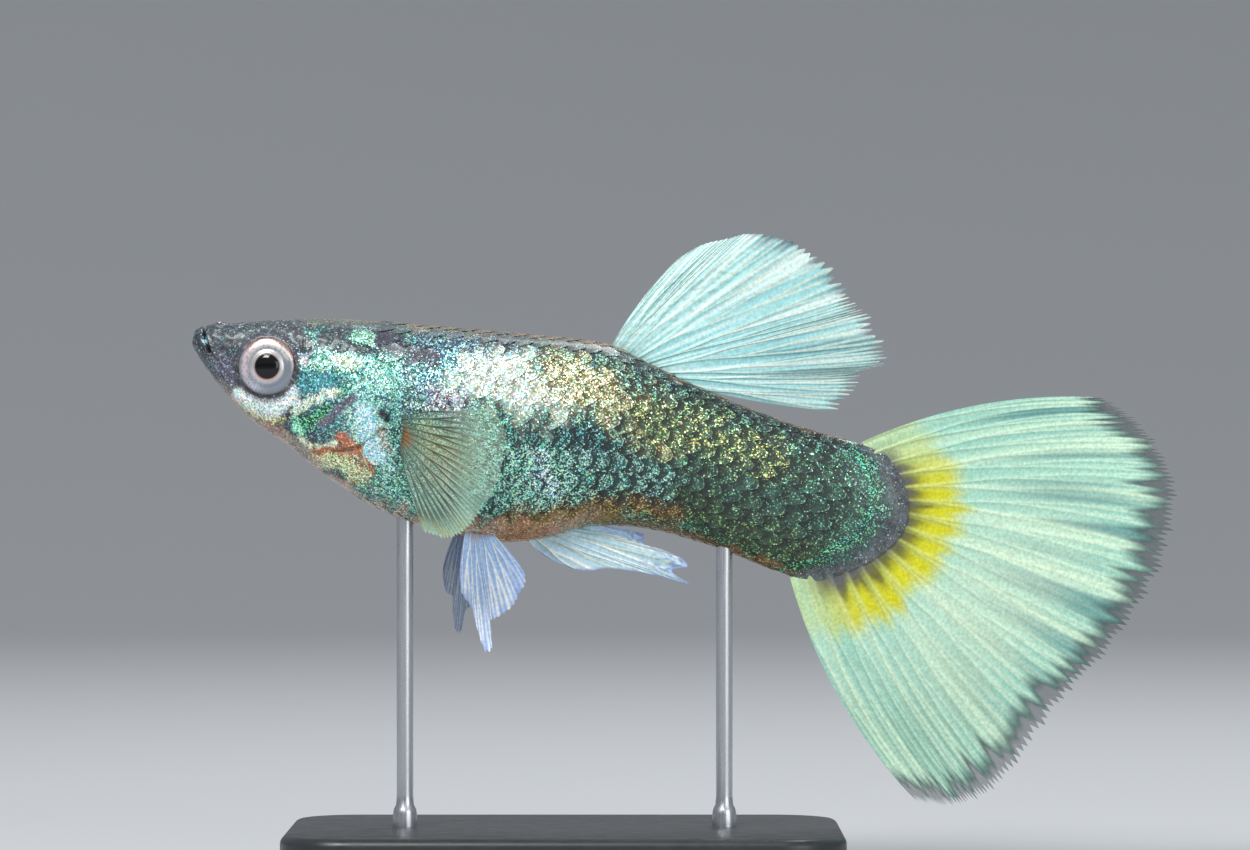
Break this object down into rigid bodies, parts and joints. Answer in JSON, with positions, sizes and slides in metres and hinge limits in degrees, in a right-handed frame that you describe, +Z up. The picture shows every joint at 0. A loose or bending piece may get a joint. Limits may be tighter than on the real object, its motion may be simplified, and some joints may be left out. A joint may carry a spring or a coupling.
{
  "type": "fancy guppy",
  "caption": "Life-size still model of a male fancy guppy, head up, with a broad fan tail and a tall dorsal fin, held over a flat base by two short rods.",
  "frame": {"origin": "centre of the underside of the display base", "axes": "-X is the way the fish's head points, +Z is up, and the fish's left side faces -Y"},
  "size_m": [0.0445, 0.016, 0.0291],
  "materials": {
    "skin": "glossy scales",
    "eye": "wet gloss",
    "fin": "satin membrane",
    "pale_fin": "satin membrane",
    "stand_base": "satin",
    "stand_rod": "brushed"
  },
  "bodies": {
    "root": {"head": "skin", "lower_jaw": "skin", "gill_cover_left": "skin", "gill_cover_right": "skin", "trunk": "skin", "tail_stalk": "skin", "eye_left": "eye", "eye_right": "eye", "dorsal_fin": "fin", "caudal_fin": "fin", "pectoral_fin_left": "fin", "pectoral_fin_right": "fin", "anal_fin": "pale_fin", "pelvic_fin_left": "pale_fin", "pelvic_fin_right": "pale_fin", "stand_base": "stand_base", "stand_rod_front": "stand_rod", "stand_rod_rear": "stand_rod"}
  },
  "joints": []
}
